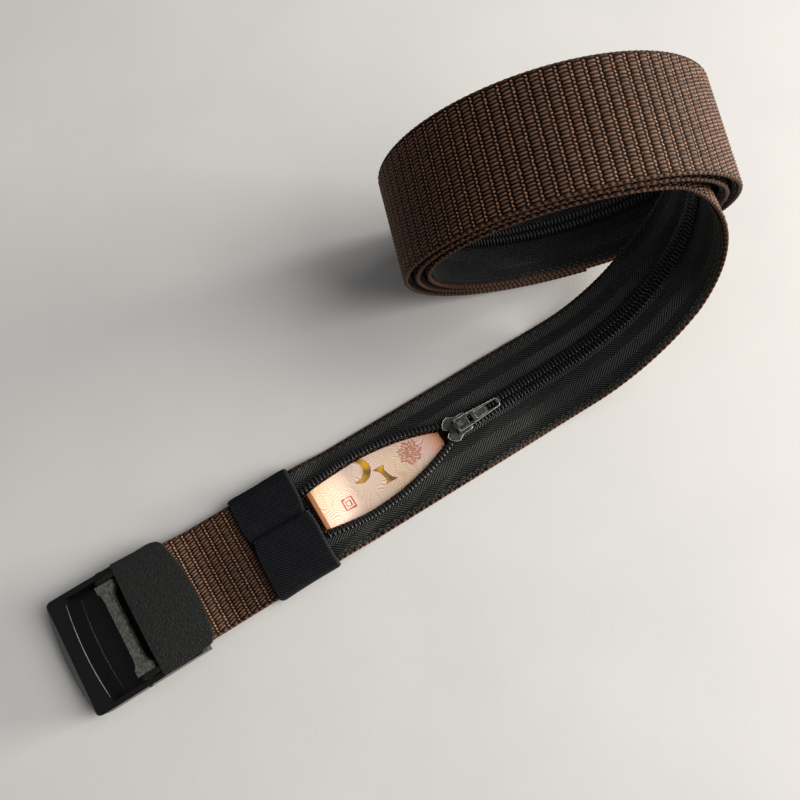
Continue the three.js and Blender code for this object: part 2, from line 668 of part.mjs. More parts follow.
addPiece('buckle_frame', frameGeometry(), bucklePlastic());
addPiece('buckle_lever', leverGeometry(), bucklePlastic());
addPiece('buckle_clamp_bar', clampBarGeometry(), bucklePlastic());
addPiece('lever_pin_far', pinGeometry(1), pinPlastic());
addPiece('lever_pin_near', pinGeometry(-1), pinPlastic());
addPiece('strap_webbing', webbingGeometry(), webbingBrown());
addPiece('fold_stitch_front', threadBar(29, -15, 15, foldStitchZ), webbingBrown());
addPiece('fold_stitch_rear', threadBar(33.5, -15, 15, foldStitchZ), webbingBrown());
addPiece('keeper_band', keeperGeometry(), elasticBlack());
addPiece('keeper_stitch', keeperStitchGeometry(), threadBlack());
addPiece('zip_tape_far', tapeGeometry(1), tapeBlack());
addPiece('zip_tape_near', tapeGeometry(-1), tapeBlack());
addPiece('zip_coil_far', coilGeometry(1), coilBlack());
addPiece('zip_coil_near', coilGeometry(-1), coilBlack());
addPiece('tape_stitch_far', stitchGeometry(1), threadBlack());
addPiece('tape_stitch_near', stitchGeometry(-1), threadBlack());
addPiece('zip_tack_front', frontTack, threadBlack());
addPiece('zip_tack_tail', tailTackGeometry(), threadBlack());
addPiece('zip_slider', sliderGeometry(), sliderMetal());
addPiece('zip_puller', pullerGeometry(), sliderMetal());
addPiece('folded_note', noteGeometry(), notePaper());

// The origin is the middle of the whole object's base.
const bounds = new THREE.Box3().setFromObject(belt, true);
const middle = bounds.getCenter(new THREE.Vector3());
belt.position.set(-middle.x, -middle.y, -bounds.min.z);

export default belt;
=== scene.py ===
# Looks of the money belt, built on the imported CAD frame. Lengths in this script are in the strap's
# own frame in millimetres (X=0 near the buckle's right edge, Y=0 the strap's centre line, Z=0 the
# ground) until mesh_piece() turns them into the part's own frame in metres.
import math

import bpy
import numpy as np
from mathutils import Matrix, Vector


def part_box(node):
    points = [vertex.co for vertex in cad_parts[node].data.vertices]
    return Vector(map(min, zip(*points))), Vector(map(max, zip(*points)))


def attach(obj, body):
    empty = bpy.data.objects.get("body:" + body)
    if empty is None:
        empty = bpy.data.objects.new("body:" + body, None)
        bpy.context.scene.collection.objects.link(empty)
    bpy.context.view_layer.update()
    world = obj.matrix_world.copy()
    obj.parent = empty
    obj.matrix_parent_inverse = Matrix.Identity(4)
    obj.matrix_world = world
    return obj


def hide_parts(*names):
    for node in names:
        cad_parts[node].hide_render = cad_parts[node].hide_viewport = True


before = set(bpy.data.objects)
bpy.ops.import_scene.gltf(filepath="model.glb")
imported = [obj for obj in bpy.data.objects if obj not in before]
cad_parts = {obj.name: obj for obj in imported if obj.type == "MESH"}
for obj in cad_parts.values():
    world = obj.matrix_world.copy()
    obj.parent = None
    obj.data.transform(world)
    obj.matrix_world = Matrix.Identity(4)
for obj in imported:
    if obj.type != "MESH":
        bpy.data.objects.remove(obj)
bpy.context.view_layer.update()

# ---- Numbers shared with the CAD source ----

HALF_WIDTH = 19.0
SKIN = 0.8
LYING_Z = 0.9
ROLL_TURN = math.radians(18)
ROLL_LEAN = math.radians(8)
ROLL_START_X = 160.5
ROLL_SIDE = 54.0
INNER_RADIUS_X = 46.0
INNER_RADIUS_Z = 37.3
TURN_PITCH = 4.0
TURNS = 3
TAIL_ANGLE = 0.35
SIDE_SHIFT_ANGLE = 2.6
LEAD_ANGLE = -0.55
RISE_ANGLE = 0.85
FIRST_TURN_EASE = 1.4
ROLL_CENTRE_Z = LYING_Z + INNER_RADIUS_Z + TURNS * TURN_PITCH
ANCHOR_X = -8.0
ANCHOR_RADIUS = 1.5
LOWER_LAYER_Z = 2.3
FOLD_RADIUS = ANCHOR_RADIUS + 0.3 + SKIN
ANCHOR_Z = LOWER_LAYER_Z + FOLD_RADIUS
UPPER_LAYER_Z = 4.2
FOLD_END_X = 40.0
TAPE_THICK = 0.4
TAPE_GAP = 0.3
TAPE_START_X = 36.0
TAPE_END_TURNS = 2.96
STITCH_START_X = 50.0
COIL_WIDTH = 2.4
COIL_START_X = 48.6
CHAIN_GAP = 0.5
OPEN_START_X = 30.0
OPEN_END_X = 108.0
OPEN_HALF_WIDTH = 9.4
OPEN_FULLNESS = 0.75
POCKET_LIFT = 2.05
KEEPER_X = 24.0
KEEPER_LENGTH = 24.0
KEEPER_END_X = KEEPER_X + KEEPER_LENGTH
BUCKLE_LEFT = -49.5
FRAME_HALF = 21.4
RAIL_THICK = 1.9
FLOOR_THICK = 1.8
SLIDER_X = 110.0
PULLER_LENGTH = 18.5
FRONT_TACK_X = 38.5
TACK_HALF = 6.0
FRONT_PLATE_X = -39.5
FRONT_PLATE_Z = 8.2

frame_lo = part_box("buckle_frame")[0] * 1000
ORIGIN = np.array([frame_lo.x - BUCKLE_LEFT, frame_lo.y + FRAME_HALF, frame_lo.z])


def smooth(value, low, high):
    """An eased step from 0 at low to 1 at high."""
    t = np.clip((np.asarray(value, float) - low) / (high - low), 0, 1)
    return t * t * (3 - 2 * t)


def noise(*coords, seed=0.0):
    """A cheap smooth wobble between about -1 and 1 made of a few sines."""
    total = 0
    for k, (f, a) in enumerate(((1.0, 0.5), (2.3, 0.3), (4.9, 0.2))):
        phase = seed * 1.7 + k * 2.1
        for n, c in enumerate(coords):
            phase = phase + np.asarray(c, float) * f * (1 + 0.37 * n)
        total = total + a * np.sin(phase)
    return total


# ---- The strap's path ----

def flat_height(x):
    """Height of the upper layer over the flat part, from the anchor bar down to the ground."""
    on_bar = ANCHOR_Z + FOLD_RADIUS
    from_bar = on_bar + (UPPER_LAYER_Z - on_bar) * smooth(x, ANCHOR_X + 2, 8)
    return from_bar + (LYING_Z - from_bar) * smooth(x, KEEPER_END_X + 1, KEEPER_END_X + 18)


def roll_radii(angle):
    """The roll's two half axes at an angle, growing from turn to turn."""
    grown = TURN_PITCH * angle / (2 * math.pi) - FIRST_TURN_EASE * (1 - smooth(angle, 2, 5))
    return INNER_RADIUS_X + grown, INNER_RADIUS_Z + grown


def rising_height(along):
    """A curve that leaves the ground level and meets the first turn at its own slope."""
    end_x, end_z = roll_radii(RISE_ANGLE)
    along0 = roll_radii(LEAD_ANGLE)[0] * math.sin(LEAD_ANGLE)
    along1 = end_x * math.sin(RISE_ANGLE)
    height1 = ROLL_CENTRE_Z - end_z * math.cos(RISE_ANGLE)
    slope1 = end_z * math.tan(RISE_ANGLE) / end_x
    t = (along - along0) / (along1 - along0)
    return (LYING_Z + (height1 - LYING_Z) * (3 * t**2 - 2 * t**3)
            + slope1 * (along1 - along0) * (t**3 - t**2))


def roll_side(angle):
    """Sideways place: in line with the flat part at first, then shifted so that the turns clear it."""
    if angle < 0:
        return roll_radii(angle)[0] * math.sin(angle) * math.tan(ROLL_TURN)
    t = min(angle / SIDE_SHIFT_ANGLE, 1)
    slope = roll_radii(0)[0] * math.tan(ROLL_TURN) * SIDE_SHIFT_ANGLE
    return slope * (t**3 - 2 * t**2 + t) + ROLL_SIDE * (3 * t**2 - 2 * t**3)


def roll_point(angle):
    rx, rz = roll_radii(angle)
    along = rx * math.sin(angle)
    height = rising_height(along) if angle < RISE_ANGLE else ROLL_CENTRE_Z - rz * math.cos(angle)
    side = roll_side(angle) - (height - LYING_Z) * math.tan(ROLL_LEAN)
    return (ROLL_START_X + along * math.cos(ROLL_TURN) + side * math.sin(ROLL_TURN),
            -along * math.sin(ROLL_TURN) + side * math.cos(ROLL_TURN), height)


def path_samples():
    """Dense rows of (x, y, z, angle, flat x or NaN in the lower layer of the fold)."""
    rows = []
    for x in np.arange(FOLD_END_X, ANCHOR_X, -0.5):
        rows.append((x, 0, LOWER_LAYER_Z, -1, np.nan))
    for turn in np.linspace(0, math.pi, 25)[:-1]:
        rows.append((ANCHOR_X - FOLD_RADIUS * math.sin(turn), 0,
                     ANCHOR_Z - FOLD_RADIUS * math.cos(turn), -1, np.nan))
    lead_x = roll_point(LEAD_ANGLE)[0]
    for x in np.arange(ANCHOR_X, lead_x - 0.3, 0.5):
        rows.append((x, 0, float(flat_height(x)), -1, x))
    for angle in np.arange(LEAD_ANGLE, TURNS * 2 * math.pi + TAIL_ANGLE, 0.011):
        rows.append((*roll_point(angle), angle, ROLL_START_X))
    return np.array(rows)


PATH = path_samples()
steps = np.linalg.norm(np.diff(PATH[:, :3], axis=0), axis=1)
PATH_S = np.concatenate([[0], np.cumsum(steps)])
STRAP_LENGTH = PATH_S[-1]


class Strap:
    """The strap's frame at distances s from the folded end: point, along, across and out."""

    def __init__(self, s):
        s = np.clip(np.asarray(s, float), 0, STRAP_LENGTH)
        self.point = self._at(s)
        before = self._at(np.clip(s - 0.6, 0, None))
        after = self._at(np.clip(s + 0.6, None, STRAP_LENGTH))
        along = after - before
        self.along = along / np.linalg.norm(along, axis=1)[:, None]
        self.angle = np.interp(s, PATH_S, PATH[:, 3])
        # The lower layer counts as a place far before the zip
        flat_x = np.nan_to_num(PATH[:, 4], nan=-60)
        self.x = np.interp(s, PATH_S, flat_x)
        turn = np.where(self.angle > LEAD_ANGLE + 1e-6, ROLL_TURN, 0)
        lean = ROLL_LEAN * (1 - np.cos(np.maximum(self.angle, 0))) / 2
        axis = np.stack([np.sin(turn) * np.cos(lean), np.cos(turn) * np.cos(lean), np.sin(lean)], 1)
        across = axis - self.along * np.sum(axis * self.along, 1)[:, None]
        self.across = across / np.linalg.norm(across, axis=1)[:, None]
        self.out = np.cross(self.along, self.across)

    @staticmethod
    def _at(s):
        return np.stack([np.interp(s, PATH_S, PATH[:, k]) for k in range(3)], 1)

    def place(self, across, out):
        """Points for arrays of across and out, one row per station."""
        return (self.point[:, None, :] + self.across[:, None, :] * np.asarray(across)[..., None]
                + self.out[:, None, :] * np.asarray(out)[..., None])


def s_at_x(x):
    """Distance along the strap of a place x on the flat part's upper layer."""
    flat = ~np.isnan(PATH[:, 4]) & (PATH[:, 3] < LEAD_ANGLE)
    return float(np.interp(x, PATH[flat, 4], PATH_S[flat]))


def s_at_angle(angle):
    """Distance along the strap of an angle in the roll."""
    roll = PATH[:, 3] >= LEAD_ANGLE
    return float(np.interp(angle, PATH[roll, 3], PATH_S[roll]))


def half_opening(x):
    """Half of the opening between the two rows of teeth."""
    t = np.clip((OPEN_END_X - x) / (OPEN_END_X - OPEN_START_X), 0, 1)
    return CHAIN_GAP + OPEN_HALF_WIDTH * np.sin(math.pi * t) ** OPEN_FULLNESS


def pocket_lift(strap):
    """How far the pocket lifts the zip off the webbing."""
    rolled = POCKET_LIFT * (1 - smooth(strap.angle, 0, 0.6))
    flat = POCKET_LIFT * smooth(strap.x, KEEPER_END_X, KEEPER_END_X + 16)
    return np.where(strap.angle > 0, rolled, flat)


# ---- Meshes ----

def mesh_piece(name, points, faces, body, stands_for=(), attributes=None):
    """A piece from points in strap millimetres. attributes is {name: one number per point}."""
    mesh = bpy.data.meshes.new(name)
    world = (np.asarray(points, float).reshape(-1, 3) + ORIGIN) / 1000
    mesh.from_pydata(world.tolist(), [], faces)
    for key, values in (attributes or {}).items():
        layer = mesh.attributes.new(key, "FLOAT", "POINT")
        layer.data.foreach_set("value", np.asarray(values, np.float32).ravel())
    mesh.update()
    mesh.polygons.foreach_set("use_smooth", np.ones(len(mesh.polygons), bool))
    piece = bpy.data.objects.new(name, mesh)
    bpy.context.scene.collection.objects.link(piece)
    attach(piece, body)
    if stands_for:
        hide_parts(*stands_for)
    return piece


def grid_faces(rows, columns, caps=True, start=0):
    """Quads of a lofted grid of rows by columns points, closed round each row."""
    r = np.arange(rows - 1)[:, None] * columns
    c = np.arange(columns)[None, :]
    after = (c + 1) % columns
    quads = np.stack([r + c, r + after, r + columns + after, r + columns + c], -1)
    faces = (quads.reshape(-1, 4) + start).tolist()
    if caps:
        faces.append([start + i for i in range(columns)][::-1])
        faces.append([start + (rows - 1) * columns + i for i in range(columns)])
    return faces


def tube_grid(centres, radius, sides):
    """Rings of points round a path of centres, with a steady frame."""
    centres = np.asarray(centres, float)
    tangent = np.gradient(centres, axis=0)
    tangent /= np.linalg.norm(tangent, axis=1)[:, None]
    reference = np.array([0, 0, 1.0])
    side = np.cross(tangent, reference)
    weak = np.linalg.norm(side, axis=1) < 0.2
    side[weak] = np.cross(tangent[weak], np.array([1.0, 0, 0]))
    side /= np.linalg.norm(side, axis=1)[:, None]
    up = np.cross(side, tangent)
    turn = np.linspace(0, 2 * math.pi, sides, endpoint=False)
    radius = np.broadcast_to(np.asarray(radius, float), (len(centres),))
    return (centres[:, None, :]
            + side[:, None, :] * (np.cos(turn)[None, :] * radius[:, None])[..., None]
            + up[:, None, :] * (np.sin(turn)[None, :] * radius[:, None])[..., None])


class Loop:
    """A closed outline of flat corners, read at distances round it."""

    def __init__(self, corners):
        self.corners = np.array(corners + [corners[0]], float)
        sides = np.linalg.norm(np.diff(self.corners, axis=0), axis=1)
        self.distances = np.concatenate([[0], np.cumsum(sides)])
        self.length = self.distances[-1]

    def at(self, place):
        return [np.interp(place, self.distances, column) for column in self.corners.T]

    def normals(self, place, step):
        """Unit normals on the left of the direction in which the corners run."""
        u1, v1 = self.at((place + step) % self.length)
        u0, v0 = self.at((place - step) % self.length)
        length = np.hypot(u1 - u0, v1 - v0)
        return (v0 - v1) / length, (u1 - u0) / length


# ---- Materials ----

def material(name):
    mat = bpy.data.materials.new(name)
    mat.use_nodes = True
    tree = mat.node_tree
    shader = tree.nodes["Principled BSDF"]
    return mat, tree, shader


def add(tree, kind, **settings):
    node = tree.nodes.new(kind)
    for key, value in settings.items():
        setattr(node, key, value)
    return node


def attribute(tree, name):
    return add(tree, "ShaderNodeAttribute", attribute_name=name).outputs["Fac"]


def ramp(tree, source, stops):
    node = add(tree, "ShaderNodeValToRGB")
    tree.links.new(source, node.inputs[0])
    elements = node.color_ramp.elements
    while len(elements) < len(stops):
        elements.new(0.5)
    for element, (place, colour) in zip(elements, stops):
        element.position = place
        element.color = (*colour, 1)
    return node.outputs["Color"]


def math_node(tree, operation, *values):
    node = add(tree, "ShaderNodeMath", operation=operation)
    for i, value in enumerate(values):
        if isinstance(value, (int, float)):
            node.inputs[i].default_value = value
        else:
            tree.links.new(value, node.inputs[i])
    return node.outputs[0]


def mix_colour(tree, factor, a, b, blend="MIX"):
    node = add(tree, "ShaderNodeMix", data_type="RGBA", blend_type=blend)
    for i, value in ((0, factor), (6, a), (7, b)):
        if isinstance(value, (int, float)):
            node.inputs[i].default_value = value
        elif isinstance(value, tuple):
            node.inputs[i].default_value = (*value, 1)
        else:
            tree.links.new(value, node.inputs[i])
    return node.outputs[2]


def object_noise(tree, scale, detail=4.0, roughness=0.55):
    coords = add(tree, "ShaderNodeTexCoord")
    node = add(tree, "ShaderNodeTexNoise")
    node.inputs["Scale"].default_value = scale
    node.inputs["Detail"].default_value = detail
    node.inputs["Roughness"].default_value = roughness
    tree.links.new(coords.outputs["Object"], node.inputs["Vector"])
    return node.outputs["Fac"]


def bump(tree, shader, height, strength, distance):
    node = add(tree, "ShaderNodeBump")
    node.inputs["Strength"].default_value = strength
    node.inputs["Distance"].default_value = distance
    tree.links.new(height, node.inputs["Height"])
    tree.links.new(node.outputs[0], shader.inputs["Normal"])


def webbing_material():
    mat, tree, shader = material("brown_webbing")
    yarn = attribute(tree, "yarn")
    # Tone 0 is near black: partly the dark yarn under the floats, partly painted shade in the grooves
    # between them
    base = ramp(tree, yarn, [(0.0, (0.002, 0.001, 0.0007)), (0.2, (0.018, 0.0085, 0.0055)),
                             (0.55, (0.22, 0.114, 0.069)), (1.0, (0.48, 0.24, 0.135))])
    worn = object_noise(tree, 60.0)
    tint = ramp(tree, worn, [(0.3, (0.86, 0.86, 0.86)), (0.7, (1.1, 1.08, 1.05))])
    colour = mix_colour(tree, 1.0, base, tint, "MULTIPLY")
    tree.links.new(colour, shader.inputs["Base Color"])
    fibre = object_noise(tree, 1800.0, 3.0)
    rough = math_node(tree, "MULTIPLY_ADD", fibre, 0.25, 0.42)
    tree.links.new(rough, shader.inputs["Roughness"])
    shader.inputs["Specular IOR Level"].default_value = 0.08
    bump(tree, shader, fibre, 0.35, 0.0002)
    return mat


def herringbone(tree, pitch, column, slope):
    """A herringbone of ribs in the strap's own along and across coordinates (millimetres)."""
    along = attribute(tree, "along")
    across = attribute(tree, "across")
    zigzag = math_node(tree, "PINGPONG", across, column)
    lean = math_node(tree, "MULTIPLY", zigzag, slope)
    phase = math_node(tree, "ADD", along, lean)
    wave = math_node(tree, "SINE", math_node(tree, "MULTIPLY", phase, 2 * math.pi / pitch))
    return math_node(tree, "MULTIPLY_ADD", wave, 0.5, 0.5)


def tape_material():
    mat, tree, shader = material("black_tape")
    rib = herringbone(tree, 1.25, 4.4, 1.25)
    fine = object_noise(tree, 2600.0, 3.0)
    dark = ramp(tree, rib, [(0.0, (0.0012, 0.0012, 0.0015)), (0.5, (0.008, 0.0085, 0.0085)),
                            (1.0, (0.046, 0.049, 0.045))])
    dust = ramp(tree, object_noise(tree, 90.0), [(0.35, (0.8, 0.8, 0.8)), (0.75, (1.15, 1.18, 1.15))])
    tree.links.new(mix_colour(tree, 1.0, dark, dust, "MULTIPLY"), shader.inputs["Base Color"])
    tree.links.new(math_node(tree, "MULTIPLY_ADD", fine, 0.3, 0.45), shader.inputs["Roughness"])
    height = math_node(tree, "ADD", rib, math_node(tree, "MULTIPLY", fine, 0.3))
    shader.inputs["Specular IOR Level"].default_value = 0.3
    bump(tree, shader, height, 1.0, 0.0005)
    return mat


def elastic_material():
    mat, tree, shader = material("black_elastic")
    yarn = attribute(tree, "yarn")
    base = ramp(tree, yarn, [(0.0, (0.0008, 0.001, 0.0014)), (0.5, (0.004, 0.0046, 0.0065)),
                             (1.0, (0.1, 0.108, 0.122))])
    fuzz = object_noise(tree, 1500.0)
    tint = ramp(tree, object_noise(tree, 120.0), [(0.3, (0.8, 0.8, 0.8)), (0.7, (1.15, 1.15, 1.15))])
    tree.links.new(mix_colour(tree, 1.0, base, tint, "MULTIPLY"), shader.inputs["Base Color"])
    tree.links.new(math_node(tree, "MULTIPLY_ADD", fuzz, 0.25, 0.55), shader.inputs["Roughness"])
    shader.inputs["Specular IOR Level"].default_value = 0.12
    bump(tree, shader, fuzz, 0.3, 0.0002)
    return mat


def plastic_material(name, colour, light, roughness, grain_scale, grain_depth, shine=0.5):
    """Plastic that varies from colour to light. grain_depth is in metres."""
    mat, tree, shader = material(name)
    mottle = object_noise(tree, grain_scale * 0.6, 5.0)
    base = ramp(tree, mottle, [(0.35, colour), (0.75, light)])
    tree.links.new(base, shader.inputs["Base Color"])
    grain = object_noise(tree, grain_scale, 3.0, 0.6)
    rough = math_node(tree, "MULTIPLY_ADD", grain, 0.22, roughness - 0.1)
    tree.links.new(rough, shader.inputs["Roughness"])
    shader.inputs["Specular IOR Level"].default_value = shine
    bump(tree, shader, grain, 0.6, grain_depth)
    return mat


def thread_material(name, dark, light):
    mat, tree, shader = material(name)
    twist = object_noise(tree, 1600.0, 2.0)
    tree.links.new(ramp(tree, twist, [(0.3, dark), (0.7, light)]), shader.inputs["Base Color"])
    tree.links.new(math_node(tree, "MULTIPLY_ADD", twist, 0.25, 0.4), shader.inputs["Roughness"])
    bump(tree, shader, twist, 0.4, 0.0002)
    return mat


def coil_material():
    mat, tree, shader = material("black_coil")
    scuff = object_noise(tree, 900.0, 3.0)
    tree.links.new(ramp(tree, scuff, [(0.3, (0.006, 0.006, 0.007)), (0.8, (0.018, 0.018, 0.02))]),
                   shader.inputs["Base Color"])
    tree.links.new(math_node(tree, "MULTIPLY_ADD", scuff, 0.15, 0.22), shader.inputs["Roughness"])
    bump(tree, shader, scuff, 0.15, 0.0001)
    return mat


def metal_material(name, dark, light):
    mat, tree, shader = material(name)
    wear = object_noise(tree, 700.0, 5.0)
    tree.links.new(ramp(tree, wear, [(0.3, dark), (0.7, light)]), shader.inputs["Base Color"])
    shader.inputs["Metallic"].default_value = 0.85
    tree.links.new(math_node(tree, "MULTIPLY_ADD", wear, 0.2, 0.25), shader.inputs["Roughness"])
    bump(tree, shader, wear, 0.25, 0.0002)
    return mat


# Numbers in the note's "mark" attribute, in the order in which their inks cover each other
RED_MARK = 1
GOLD_MARK = 2
FOLD_MARK = 3
PINK_MARK = 4


def note_material():
    """Generic security-print waves in pink and cream, with plain marks and no lettering."""
    mat, tree, shader = material("printed_note")
    along = attribute(tree, "along")
    across = attribute(tree, "across")
    wobble = math_node(tree, "MULTIPLY", object_noise(tree, 60.0, 2.0), 10.0)
    wavy_across = math_node(tree, "ADD", math_node(tree, "MULTIPLY", across, 0.55), wobble)
    field = math_node(tree, "ADD", wavy_across, math_node(tree, "MULTIPLY", along, 0.18))
    lines = math_node(tree, "SINE", math_node(tree, "MULTIPLY", field, 15.0))
    ground = ramp(tree, object_noise(tree, 35.0, 1.0),
                  [(0.3, (0.88, 0.72, 0.5)), (0.5, (0.9, 0.75, 0.64)), (0.72, (0.86, 0.57, 0.53))])
    inked = ramp(tree, math_node(tree, "MULTIPLY_ADD", lines, 0.5, 0.5),
                 [(0.0, (0.78, 0.38, 0.32)), (0.4, (1, 1, 1)), (1.0, (1, 1, 1))])
    colour = mix_colour(tree, 0.85, ground, inked, "MULTIPLY")
    cross_field = math_node(tree, "SUBTRACT", math_node(tree, "MULTIPLY", along, 0.5), wobble)
    cross_lines = math_node(tree, "SINE", math_node(tree, "MULTIPLY", cross_field, 8.0))
    cross_ink = ramp(tree, math_node(tree, "MULTIPLY_ADD", cross_lines, 0.5, 0.5),
                     [(0.0, (0.9, 0.72, 0.45)), (0.3, (1, 1, 1)), (1.0, (1, 1, 1))])
    colour = mix_colour(tree, 0.5, colour, cross_ink, "MULTIPLY")
    mark = attribute(tree, "mark")
    gold = ramp(tree, object_noise(tree, 160.0, 1.0),
                [(0.38, (0.16, 0.11, 0.02)), (0.6, (0.75, 0.4, 0.01))])
    inks = ((RED_MARK, (0.45, 0.05, 0.08)), (GOLD_MARK, gold), (FOLD_MARK, (0.38, 0.14, 0.05)),
            (PINK_MARK, (0.72, 0.27, 0.3)))
    for number, ink in inks:
        colour = mix_colour(tree, math_node(tree, "GREATER_THAN", mark, number - 0.5), colour, ink)
    near_tip = math_node(tree, "MULTIPLY_ADD", along, 0.16, -15.4)
    tip = ramp(tree, near_tip, [(0.0, (0, 0, 0)), (1.0, (0.8, 0.8, 0.8))])
    colour = mix_colour(tree, tip, colour, (0.78, 0.27, 0.1))
    tree.links.new(colour, shader.inputs["Base Color"])
    paper = object_noise(tree, 1500.0, 4.0)
    tree.links.new(math_node(tree, "MULTIPLY_ADD", paper, 0.15, 0.5), shader.inputs["Roughness"])
    bump(tree, shader, paper, 0.2, 0.0001)
    return mat


WEBBING = webbing_material()
TAPE = tape_material()
ELASTIC = elastic_material()
COIL = coil_material()
METAL = metal_material("gunmetal", (0.04, 0.045, 0.041), (0.1, 0.11, 0.1))
RIM_METAL = metal_material("worn_rim", (0.42, 0.44, 0.4), (0.65, 0.67, 0.62))
NOTE = note_material()
LEVER_PLASTIC = plastic_material("pebbled_plastic", (0.0045, 0.005, 0.0045), (0.018, 0.019, 0.017),
                                 0.5, 1700.0, 0.0006, 0.35)
FRAME_PLASTIC = plastic_material("smooth_plastic", (0.0035, 0.004, 0.0035), (0.007, 0.0075, 0.007),
                                 0.3, 1800.0, 0.0001, 0.4)
BAR_PLASTIC = plastic_material("grip_plastic", (0.05, 0.051, 0.044), (0.16, 0.161, 0.143),
                               0.5, 1100.0, 0.0011, 0.4)
# Lighter plastic for a painted highlight on the front plate's edge, standing in for the light that edge
# catches
PAINTED_EDGE_HIGHLIGHT = plastic_material("painted_edge_highlight", (0.12, 0.123, 0.115), (0.3, 0.3, 0.28),
                             0.3, 900.0, 0.0001)
PIN_PLASTIC = plastic_material("pin_plastic", (0.07, 0.073, 0.068), (0.12, 0.122, 0.114),
                               0.25, 900.0, 0.00005)
BLACK_THREAD = thread_material("black_thread", (0.008, 0.008, 0.009), (0.03, 0.03, 0.03))
BROWN_THREAD = thread_material("brown_thread", (0.03, 0.016, 0.01), (0.12, 0.07, 0.045))


# ---- Webbing ----

WEAVE_PERIOD = 4.1
CORDS = 33
CORD_WIDTH = 2 * HALF_WIDTH / CORDS
# One long float and one short one per period: centre and half length as shares of the period, rise in
# millimetres, sideways shift and slant in cords, and tone of its yarn
FLOATS = ((0.27, 0.33, 0.55, 0.0, 0.3, 0.55), (0.77, 0.09, 0.34, 0.5, 0.0, 1.0))
WEAVE_BASE = 0.35
PERIOD_STOPS = (0.0, 0.08, 0.17, 0.27, 0.37, 0.46, 0.56, 0.64, 0.70, 0.76, 0.82, 0.88)


def weave(s, across, lean):
    """Height over the strap's middle and yarn tone at distance s and a place across; the near-black tone
    between floats is partly painted shade in the grooves.

    lean turns the long floats.
    """
    place = (across + HALF_WIDTH) / CORD_WIDTH
    index = np.floor(place + 0.01)
    lag = 0.02 * np.where(index % 2 > 0.5, 1, -1) + 0.012 * noise(s * 0.31, index * 0.9, seed=3)
    phase = (s / WEAVE_PERIOD + lag) % 1
    height = np.zeros_like(phase)
    yarn = np.zeros_like(phase)
    for centre, half, rise, shift, slant, tone in FLOATS:
        offset = ((phase - centre + 0.5) % 1 - 0.5) / half
        arch = np.sqrt(np.clip(1 - offset**2, 0, 1))
        cord = np.abs(np.sin(math.pi * (place + shift + lean * slant * np.clip(offset, -1, 1))))
        lump = rise * arch * cord
        # The tone falls to near black off the floats: partly the dark yarn below, partly painted shade in
        # the grooves
        shade = tone * smooth(cord, 0.3, 0.9) * smooth(arch, 0.1, 0.75)
        yarn = np.where(lump > height, shade, yarn)
        height = np.maximum(height, lump)
    yarn = yarn * (0.9 + 0.2 * noise(s * 0.7, across * 1.3, seed=6))
    yarn = yarn * (1 - 0.6 * smooth(np.abs(across), HALF_WIDTH - 1.2, HALF_WIDTH - 0.4))
    return WEAVE_BASE + height, yarn


def webbing_piece(name, s_from, s_to, both_faces):
    """A length of webbing, woven outside and, with both_faces, inside as well."""
    first = math.floor(s_from / WEAVE_PERIOD)
    last = math.ceil(s_to / WEAVE_PERIOD)
    s = np.array([(k + p) * WEAVE_PERIOD for k in range(first, last + 1) for p in PERIOD_STOPS])
    s = s[(s > s_from) & (s < s_to)]
    s = np.concatenate([[s_from], s, [s_to]])
    strap = Strap(s)
    woven_half = HALF_WIDTH - 0.7
    fine = np.linspace(-woven_half, woven_half, CORDS * 4 + 1)
    coarse = np.linspace(-woven_half, woven_half, 5)
    inner_line = fine if both_faces else coarse
    outer_s, outer_across = np.meshgrid(s, fine, indexing="ij")
    outer_height, outer_yarn = weave(outer_s, outer_across, 0.4)
    inner_s, inner_across = np.meshgrid(s, inner_line, indexing="ij")
    inner_height, inner_yarn = weave(inner_s, inner_across, -1.0)
    if not both_faces:
        inner_height = np.full_like(inner_height, SKIN - 0.05)
        inner_yarn = np.full_like(inner_yarn, 0.3)
    loop = 0.5 + 0.5 * np.sin(s * 2 * math.pi / (WEAVE_PERIOD / 2))
    edge_across = []
    edge_out = []
    edge_yarn = []
    for place, height in ((-0.42, -0.62), (0.0, -0.25), (0.0, 0.3), (-0.35, 0.66)):
        turned = loop if height < 0 else 1 - loop
        edge_across.append(HALF_WIDTH + place + 0.16 * turned)
        edge_out.append(np.full_like(s, height))
        edge_yarn.append(0.12 + 0.35 * turned)
    edge_across, edge_out, edge_yarn = (np.stack(rows, 1) for rows in (edge_across, edge_out, edge_yarn))
    across = np.concatenate([outer_across, edge_across, inner_across[:, ::-1], -edge_across[:, ::-1]], 1)
    out = np.concatenate([-outer_height, edge_out, inner_height[:, ::-1], edge_out[:, ::-1]], 1)
    yarn = np.concatenate([outer_yarn, edge_yarn, inner_yarn[:, ::-1], edge_yarn[:, ::-1]], 1)
    points = strap.place(across, out)
    piece = mesh_piece(name, points, grid_faces(len(s), across.shape[1]), "belt",
                       ["strap_webbing"], {"yarn": yarn})
    piece.data.materials.append(WEBBING)


SEAM_S = s_at_x(SLIDER_X + 3)
webbing_piece("webbing_anchor_end", 0.0, SEAM_S, True)
webbing_piece("webbing_run", SEAM_S + 0.05, STRAP_LENGTH, False)


# ---- Zip tapes ----

def tape_bottom(strap):
    """Height of the tapes' underside beside the teeth, over the strap's middle."""
    return SKIN + TAPE_GAP + pocket_lift(strap)


TAPE_S0 = s_at_x(TAPE_START_X + 0.3)
TAPE_S1 = s_at_angle(TAPE_END_TURNS * 2 * math.pi)
TAPE_EDGE_Y = 18.05
SLIDER_HALF = 5.8
STITCH_LINE = 16.9
STITCH_PITCH = 3.0


